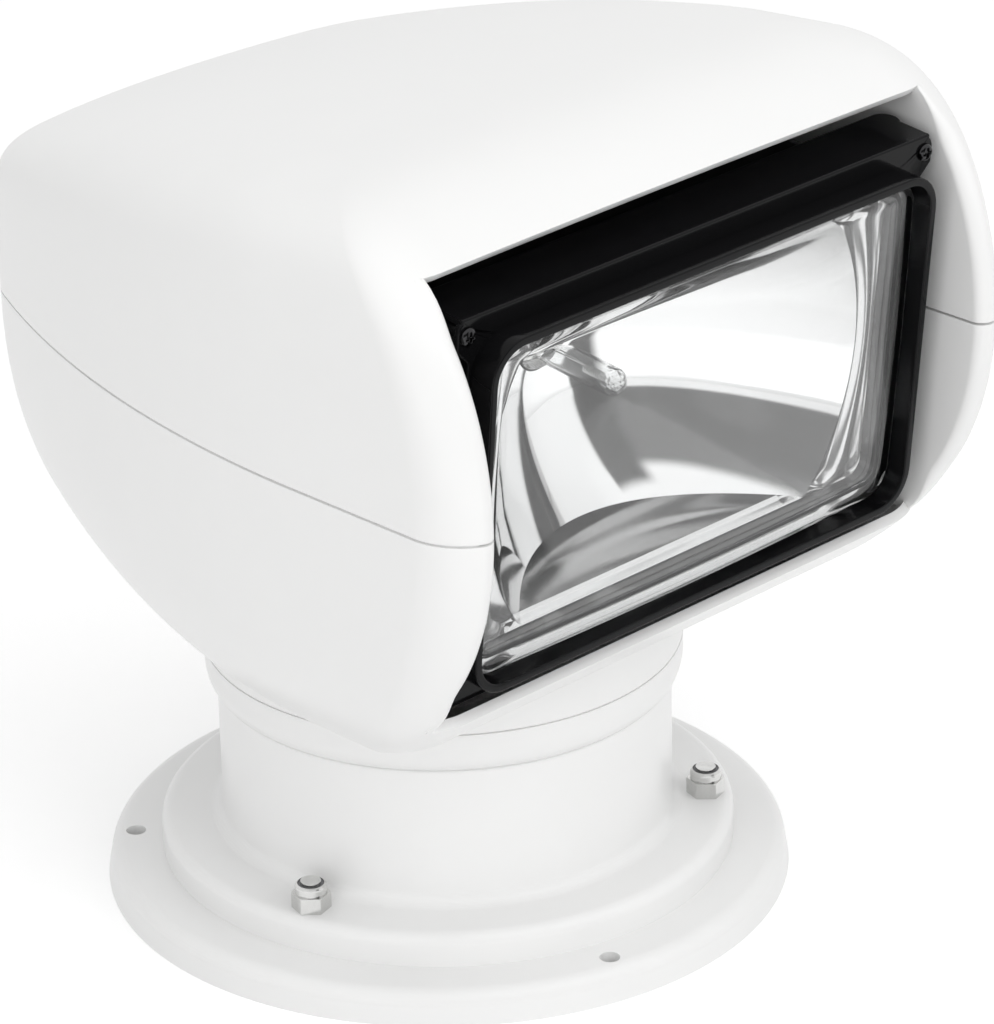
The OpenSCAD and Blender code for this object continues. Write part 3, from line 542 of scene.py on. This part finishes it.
def bar(across, along):
    """One arm of a cross recess: 1 inside it and 0 outside, with sloping sides."""
    sides = np.clip((CROSS_HALF_W - np.abs(across)) / 0.25, 0, 1)
    return sides * np.clip((CROSS_REACH - np.abs(along)) / 0.3, 0, 1)


def pan_head(x, z):
    """Rows of a screw head from its middle to its base: a low dome with the cross sunk into it."""
    turn = np.linspace(0, 2 * np.pi, 72, endpoint=False) + SCREW_TURN
    r = np.concatenate([np.linspace(0, 0.94, 26), [0.98, 1.0, 1.0]])[:, None] * SCREW_R
    u, v = r * np.cos(turn), r * np.sin(turn)
    dome = SCREW_H * np.sqrt(np.maximum(0, 1 - (r / (1.02 * SCREW_R)) ** 4))
    high = dome - CROSS_DEPTH * np.maximum(bar(u, v), bar(v, u))
    high[-1] = 0
    return np.stack([x + u, PLATE_FRONT - high, z + v], axis=-1)


heads = [(on_lamp(pan_head(x, z)), True, True) for x in (-SCREW_X, SCREW_X) for z in (-SCREW_Z, SCREW_Z)]
make_piece("frame_screw_heads", *join_grids(*heads), "lamp", black_steel, "black_gloss", "frame_screws")


# Bezel: the raised black ring round the window, with a narrow rounded rim and steep walls.
# It is pressed in glossy black and stands on the frame, and the glass lies behind it.

BEZEL_HALF_W, BEZEL_HALF_H, BEZEL_R = 88.0, 53.3, 12.0
BEZEL_FRONT, BEZEL_WALL, RIM_R = -43.0, 2.5, 0.4


def rounded_outline(half_w, half_h, r, count=16, side=30):
    """Points round a rectangle with round corners, from the right of the top; sizes may be arrays of rows."""
    half_w, half_h, r = (np.atleast_1d(np.asarray(v, float))[:, None] for v in (half_w, half_h, r))
    angle = np.linspace(0, np.pi / 2, count)
    along = np.linspace(0, 1, side + 2)[1:-1, None]
    corners = []
    for quarter, (sx, sz) in enumerate([(1, 1), (-1, 1), (-1, -1), (1, -1)]):
        turn = angle + quarter * np.pi / 2
        x, z = sx * (half_w - r) + r * np.cos(turn), sz * (half_h - r) + r * np.sin(turn)
        corners.append(np.stack([x, z], axis=-1))
    runs = []
    for corner, following in zip(corners, corners[1:] + corners[:1]):
        runs += [corner, corner[:, -1:] + (following[:, :1] - corner[:, -1:]) * along]
    return np.concatenate(runs, axis=1)


def sweep_round(half_w, half_h, r, profile):
    """A profile of inset and depth carried round a rectangle with round corners, in the lamp's frame."""
    inset, depth = np.asarray(profile, float).T
    outline = rounded_outline(half_w - inset, half_h - inset, np.maximum(r - inset, 0.2))
    y = np.broadcast_to(depth[:, None], outline.shape[:2])
    return np.stack([outline[..., 0], y, outline[..., 1] - AXIS_DROP], axis=-1)


bezel_profile = np.concatenate([
    [[0, PLATE_FRONT]],
    bow((RIM_R, BEZEL_FRONT + RIM_R), RIM_R, 180, 270),
    bow((BEZEL_WALL - RIM_R, BEZEL_FRONT + RIM_R), RIM_R, 270, 360),
    [[BEZEL_WALL, PLATE_FRONT], [0, PLATE_FRONT]],
])
bezel_grid = on_lamp(sweep_round(BEZEL_HALF_W, BEZEL_HALF_H, BEZEL_R, bezel_profile))
make_piece("bezel_ring", *join_grids((bezel_grid, True, False)), "lamp", black_gloss, "black_gloss", "bezel")


# Glass: a thick pressed cover with a domed front, rounded shoulders and a flange round it, clear and smooth.
# It is held behind the window by the frame and its seal.

LENS_Y, LENS_RIM, DOME_R, GLASS_T = -32.0, 4.0, 700.0, 3.5
GLASS_LIFT, GLASS_INSET, DOME_SHARE = 6.5, 4.5, 0.35
OUTER_SHOULDER, INNER_SHOULDER = (4.0, 3.0), (3.0, 2.5)
FLANGE, FLANGE_EDGE, FLANGE_END = 3, 0.4, 7.5
WINDOW_IN = 2.8
WINDOW_W, WINDOW_H, WINDOW_R = BEZEL_HALF_W - WINDOW_IN, BEZEL_HALF_H - WINDOW_IN, BEZEL_R - WINDOW_IN
glass, shade = start_finish("clear_glass")
smear = drift(shade, 60, 4.0)
glass_shader = shade.node("BsdfPrincipled", None, {
    "Base Color": shades_of(shade, smear, (0.97, 0.98, 0.98), (1.0, 1.0, 1.0)),
    "Roughness": smear * 0.01,
    "IOR": 1.5,
    "Transmission Weight": 1.0,
})
shade.node("OutputMaterial", None, {"Surface": glass_shader})


def glass_face(inset, lift, shoulder, drop):
    """Rows of a domed face from its edge to the middle: a quarter ellipse for the shoulder, then the dome.

    inset is the edge's distance inside the window and lift the dome's height at the window's corners.
    The dome rises as a parabola towards the middle.
    """
    turn = np.linspace(0, np.pi / 2, 10)
    inside = inset + shoulder * (1 - np.cos(turn))
    edge = rounded_outline(WINDOW_W - inside, WINDOW_H - inside, np.maximum(WINDOW_R - inside, 0.3))
    share = np.linspace(1, 0, 30)[1:, None, None]
    rows = np.concatenate([edge, edge[-1:] * share])
    sunk = np.concatenate([drop * (1 - np.sin(turn)), np.zeros(29)])[:, None]
    rise = (WINDOW_W**2 + WINDOW_H**2 - (rows**2).sum(axis=-1)) / (2 * DOME_R)
    y = LENS_Y - lift - DOME_SHARE * rise + sunk
    return np.stack([rows[..., 0], y, rows[..., 1] - AXIS_DROP], axis=-1)


outer_face = glass_face(0.0, GLASS_LIFT, *OUTER_SHOULDER)
inner_face = glass_face(GLASS_INSET, GLASS_LIFT - GLASS_T, *INNER_SHOULDER)
lens_back = LENS_Y + LENS_RIM
flange = sweep_round(WINDOW_W + FLANGE, WINDOW_H + FLANGE, WINDOW_R + WINDOW_IN, [
    [FLANGE, LENS_Y],
    [FLANGE_EDGE, LENS_Y],
    [0, LENS_Y + FLANGE_EDGE],
    [0, lens_back - FLANGE_EDGE],
    [FLANGE_EDGE, lens_back],
    [FLANGE_END, lens_back],
])
lens_grid = on_lamp(np.concatenate([outer_face[::-1], flange, inner_face]))
make_piece("pressed_lens", *join_grids((lens_grid, True, True)), "lamp", glass, "lens_glass", "lens")


# Mirror: a deep bright dish pressed in sheet metal, with flat top and bottom and a beaded rim at its mouth.
# It is aluminised on the inside and its rim lies behind the glass's flange.

FOCAL, APEX_Y, MIRROR_HALF_H, MOUTH_R, HOLE_R = 25.0, 26.0, 46.0, 73.5, 8.0
BEAD_H, BEAD_COUNT, FLARE_DEPTH, FLARE_Z = 1.4, 2.5, 5.5, 42.0
RIM_HALF_W, RIM_HALF_H, RIM_GAP = 87.0, 52.5, 0.3
mirror_face = finish("mirror_face", (0.93, 0.93, 0.93), 0.02, 0.05, 0.02, 30, 0.00001, 60, metallic=1.0)
drawn_metal = finish("drawn_metal", (0.68, 0.68, 0.68), 0.1, 0.12, 0.05, 90, 0.00001, 500, (0.08, 1, 1),
                     metallic=1.0)
satin_rim = finish("satin_rim", (0.94, 0.94, 0.94), 0.02, 0.16, 0.05, 60, 0.00001, 400, metallic=0.8)


def dish(share):
    """Rows of the dish: the mouth's outline shrunk by share, on the parabola behind it."""
    turn = np.linspace(0, 2 * np.pi, 360, endpoint=False)
    mouth = np.minimum(MOUTH_R, MIRROR_HALF_H / np.maximum(np.abs(np.sin(turn)), 0.01))
    r = HOLE_R + (mouth - HOLE_R) * np.asarray(share, float)[:, None]
    y = APEX_Y - r**2 / (4 * FOCAL)
    return np.stack([r * np.cos(turn), y, r * np.sin(turn) - AXIS_DROP], axis=-1)


def flare(mouth):
    """1 along the flat top and bottom of the mouth, 0 at its ends, and a straight slope between them."""
    return np.clip((np.abs(mouth[:, 2] + AXIS_DROP) - FLARE_Z) / 4, 0, 1)


def flat_walls(mouth, mouth_y):
    """Rows from the parabola's edge straight forward to the mouth."""
    share = np.linspace(0, 1, 10)[1:, None]
    y = mouth[:, 1] + (mouth_y - mouth[:, 1]) * share
    return np.stack([mouth[:, 0] + 0 * share, y, mouth[:, 2] + 0 * share], axis=-1)


def beaded_rim(mouth, mouth_y, rim_y):
    """Rows from the mouth out to the rim's rectangle, with beads that rise and fall as a folded cosine.

    Where the mouth flares, the rim slopes forward and its beads are lower.
    """
    turn = np.arctan2(mouth[:, 2] + AXIS_DROP, mouth[:, 0])
    across, upward = np.maximum(np.abs(np.cos(turn)), 0.01), np.maximum(np.abs(np.sin(turn)), 0.01)
    outer = np.minimum(RIM_HALF_W / across, RIM_HALF_H / upward)
    inner = np.hypot(mouth[:, 0], mouth[:, 2] + AXIS_DROP)
    share = np.linspace(0, 1, 41)[1:, None]
    r = inner + (outer - inner) * share
    wave = 1 - np.abs(np.cos(BEAD_COUNT * np.pi * share))
    y = mouth_y + (rim_y - mouth_y) * share + BEAD_H * (1 - 0.75 * flare(mouth)) * wave
    return np.stack([r * np.cos(turn), y, r * np.sin(turn) - AXIS_DROP], axis=-1)


bowl = dish(np.linspace(0, 1, 40))
rim_y = lens_back + RIM_GAP
mouth_y = rim_y + FLARE_DEPTH * flare(bowl[-1])
walls = flat_walls(bowl[-1], mouth_y)
beads = beaded_rim(bowl[-1], mouth_y, rim_y)
bowl_grid = on_lamp(bowl)
make_piece("mirror_dish", *join_grids((bowl_grid, True, False)), "lamp", mirror_face, "mirror", "reflector")
wall_grid = on_lamp(np.concatenate([bowl[-1:], walls]))
make_piece("mirror_walls", *join_grids((wall_grid, True, False)), "lamp", drawn_metal, "mirror", "reflector")
rim_grid = on_lamp(np.concatenate([walls[-1:], beads]))
make_piece("mirror_rim", *join_grids((rim_grid, True, False)), "lamp", satin_rim, "mirror", "reflector")


# Lamp capsule: a small clear glass bulb on the optical axis with a coiled filament.
# It is sealed into a plated cap that plugs into a black holder, with blades behind for the leads.

BULB_R, BULB_WALL, BULB_END = 4.2, 0.8, 29.2
BULB_START, BULB_INSIDE, FOOT_IN, FOOT_H = 3.05, 4.5, 0.8, 5
COIL_R, COIL_TURNS, COIL_START, COIL_H, LEAD_START, LEAD_ASIDE = 1.1, 8, 19, 7, 6, 1.6
bulb_glass, shade = start_finish("bulb_glass")
mist = drift(shade, 250, 3.0)
depth = shade.node("SeparateXYZ", None, {0: shade.node("TexCoord", out="Object")}, out="Y")
tip = shade.node("MapRange", None, {"Value": depth, "From Min": -0.066, "From Max": -0.070})
seed = drift(shade, 800, 2.0) * tip
bulb_shader = shade.node("BsdfPrincipled", None, {
    "Normal": shade.node("Bump", None, {"Strength": 1.0, "Distance": 0.0006, "Height": seed}),
    "Base Color": shades_of(shade, mist, (0.9, 0.91, 0.91), (1.0, 1.0, 1.0)),
    "Roughness": mist * 0.04,
    "IOR": 1.47,
    "Transmission Weight": 1.0,
})
shade.node("OutputMaterial", None, {"Surface": bulb_shader})


def on_axis(points):
    """Moves points of sideways, upward and forward distance from the mirror's apex into the light's frame."""
    x, z, ahead = np.moveaxis(np.asarray(points, float), -1, 0)
    return on_lamp(np.stack([x, APEX_Y - ahead, z - AXIS_DROP], axis=-1))


def capsule(r, start):
    """Rows of a glass tube with a round end: a narrowed foot, a straight wall and half a ball."""
    foot = [[0, start], [r - FOOT_IN, start], [r, start + FOOT_H]]
    return lathe(np.concatenate([foot, bow((0, BULB_END), r, 0, 90, 14)]), 48)


def wire(path, across, radius=0.22):
    """A round wire along a path: circles that stand square to the path, turned about the direction across."""
    along = np.gradient(path, axis=0)
    along /= np.linalg.norm(along, axis=1, keepdims=True)
    side = np.cross(along, across)
    side /= np.linalg.norm(side, axis=1, keepdims=True)
    turn = np.linspace(0, 2 * np.pi, 8, endpoint=False)[:, None]
    ring = np.cos(turn) * side[:, None] + np.sin(turn) * np.cross(along, side)[:, None]
    return path[:, None] + radius * ring


outside = on_axis(capsule(BULB_R, BULB_START))
inside = on_axis(capsule(BULB_R - BULB_WALL, BULB_INSIDE))
bulb_grids = (outside, True, False), (inside, True, True)
make_piece("bulb_capsule", *join_grids(*bulb_grids), "lamp", bulb_glass, "bulb_glass", "bulb")
plated = finish("plated", (0.75, 0.75, 0.74), 0.06, 0.2, 0.06, 300, 0.00001, 1500, metallic=1.0)
dress(plated, "bulb_base", "terminals")

wind = np.linspace(0, 1, 200)
spin = 2 * COIL_TURNS * np.pi * wind
coil = np.stack([COIL_R * np.cos(spin), COIL_R * np.sin(spin), COIL_START + COIL_H * wind], axis=-1)
reach = np.linspace(0, 1, 12)[:, None]
coil_end = COIL_START + COIL_H
first_lead = np.array([COIL_R, 0, LEAD_START]) + np.array([0, 0, COIL_START - LEAD_START]) * reach
second_lead = np.array([COIL_R, 0, coil_end]) + np.array([LEAD_ASIDE, 0, LEAD_START - coil_end]) * reach
wires = [(on_axis(wire(path, across)), True, False)
         for path, across in ((coil, (0, 0, 1)), (first_lead, (0, 1, 0)), (second_lead, (0, 1, 0)))]
make_piece("bulb_filament", *join_grids(*wires), "lamp", plated, "plated", "bulb")


# Studio: a pale floor under a plain white surround, with broad soft lamps to the left, in front and overhead.
# Metal and glass see a grey cloth before the light and a painted dark reflection: a dark upright band beside it.

FLOOR_CORNERS = ((-3, -3), (3, -3), (3, 3), (-3, 3))
FLOOR_LIT = 0.28
# The last grey here and the shift below belong to the painted dark reflection, a band only mirror and glass rays
# see.
SOFT, CLOTH, DARK_REFLECTION_GREY = 0.62, 0.12, 0.04
DARK_REFLECTION_ASIDE = 0.06
floor_mesh = bpy.data.meshes.new("studio_floor")
floor_mesh.from_pydata([(x, y, 0) for x, y in FLOOR_CORNERS], [], [(0, 1, 2, 3)])
floor = bpy.data.objects.new("studio_floor", floor_mesh)
bpy.context.scene.collection.objects.link(floor)


def ray_share(shade, *kinds):
    """1 for light paths of these kinds and 0 for others."""
    found = shade.node("LightPath", out=kinds[0])
    for kind in kinds[1:]:
        found = shade.math("MAXIMUM", found, shade.node("LightPath", out=kind))
    return found


def step(value, low, high):
    """0 below low and 1 above high, smooth between them, and the other way round where low is the larger."""
    sockets = {"Value": value, "From Min": low, "From Max": high}
    return value.node("MapRange", {"interpolation_type": "SMOOTHSTEP"}, sockets)


def beside(across, ahead):
    """Sideways over forward distance, and 1 in the upright band of it where the painted dark reflection lies."""
    aside = across / across.math("MAXIMUM", ahead, 0.01)
    return aside, step(aside, -0.1, 0.03) * step(aside, 0.33, 0.29)


paper, shade = start_finish("floor_paper")
mottle = drift(shade, 8)


def matt_paper(low, high):
    """Matt paper whose grey drifts from low to high."""
    return shade.node("BsdfDiffuse", None, {"Color": shades_of(shade, mottle, [low] * 3, [high] * 3)})


matt = matt_paper(0.87, 0.91)
lit = shade.node("Emission", None, {"Color": (1, 1, 1, 1), "Strength": FLOOR_LIT})
shown = shade.node("AddShader", None, {0: matt, 1: lit})
looked_at = ray_share(shade, "Is Camera Ray", "Is Glossy Ray", "Is Transmission Ray")
seen_floor = shade.node("MixShader", None, {0: looked_at, 1: matt, 2: shown})
place = shade.node("TexCoord", out="Object")
across, depth = (shade.node("SeparateXYZ", None, {0: place}, out=axis) for axis in "XY")
ahead = -0.1 - depth
mirrored = ray_share(shade, "Is Glossy Ray", "Is Transmission Ray")
# Painted dark reflection on the floor: dark paper in the band, seen only by mirror and glass rays.
foot = beside(across - DARK_REFLECTION_ASIDE, ahead)[1] * step(ahead, 0.1, 0.22) * mirrored
ground = shade.node("MixShader", None, {0: foot, 1: seen_floor, 2: matt_paper(0.05, 0.07)})
shade.node("OutputMaterial", None, {"Surface": ground})
floor_mesh.materials.append(paper)

world = bpy.data.worlds.new("studio")
bpy.context.scene.world = world
world.use_nodes = True
world.node_tree.nodes.clear()
sky = Shade(world.node_tree)


def glow(level):
    """Even light of one grey."""
    return sky.node("Background", None, {"Color": (level, level, level, 1), "Strength": 1.0})


direction = sky.node("TexCoord", out="Generated")
across, depth, height = (sky.node("SeparateXYZ", None, {0: direction}, out=axis) for axis in "XYZ")
ahead = 0.0 - depth
aside, painted_reflection_band = beside(across, ahead)
before = step(ahead, 0.05, 0.15)
cloth = before * step(height, 0.0, 0.02) * step(height, 0.53, 0.47)
cloth = cloth * step(aside, -2.4, -1.6) * step(aside, 0.36, 0.27)
# Painted dark reflection in the surround: the upright band, seen only by mirror and glass rays.
painted_reflection = before * painted_reflection_band * step(height, 0.6, 0.55)
around = sky.node("MixShader", None, {0: cloth, 1: glow(1.0), 2: glow(CLOTH)})
around = sky.node("MixShader", None, {0: painted_reflection, 1: around, 2: glow(DARK_REFLECTION_GREY)})
bright = ray_share(sky, "Is Glossy Ray", "Is Transmission Ray")
lighting = sky.node("MixShader", None, {0: bright, 1: glow(SOFT), 2: around})
surface = sky.node("MixShader", None, {0: ray_share(sky, "Is Camera Ray"), 1: lighting, 2: glow(1.0)})
sky.node("OutputWorld", None, {"Surface": surface})


def area_lamp(name, place, aim, size, power):
    """A square soft lamp at a place, turned to a point."""
    data = bpy.data.lights.new(name, "AREA")
    data.size = size
    data.energy = power
    lamp = bpy.data.objects.new(name, data)
    lamp.location = place
    lamp.rotation_mode = "QUATERNION"
    lamp.rotation_quaternion = (Vector(aim) - Vector(place)).to_track_quat("-Z", "Y")
    lamp.visible_glossy = False
    lamp.visible_transmission = False
    bpy.context.scene.collection.objects.link(lamp)


area_lamp("left_lamp", (-1.7, -1.0, 0.7), (0, 0, 0.15), 1.6, 9)
area_lamp("front_lamp", (0.1, -1.8, 1.35), (0, 0, 0.12), 1.6, 11.5)
area_lamp("top_lamp", (0, -0.2, 2.2), (0, 0, 0.12), 1.6, 9)


# Camera: a long lens that looks down on the light from its front left corner, as the photograph does.
# The place and direction were solved from the base's circles and the opening's edges.

camera_data = bpy.data.cameras.new("camera")
camera_data.sensor_width = 36.0
camera_data.lens = 184.84
camera = bpy.data.objects.new("camera", camera_data)
right = (0.706981, -0.707012, -0.017661)
up = (0.308297, 0.285617, 0.907401)
forward = (0.636499, 0.64696, -0.419896)
axes = Matrix((right, up, [-v for v in forward])).transposed()
camera.matrix_world = Matrix.Translation((-0.962495, -1.001649, 0.755558)) @ axes.to_4x4()
bpy.context.scene.collection.objects.link(camera)
bpy.context.scene.camera = camera
bpy.context.scene.view_settings.view_transform = "Standard"
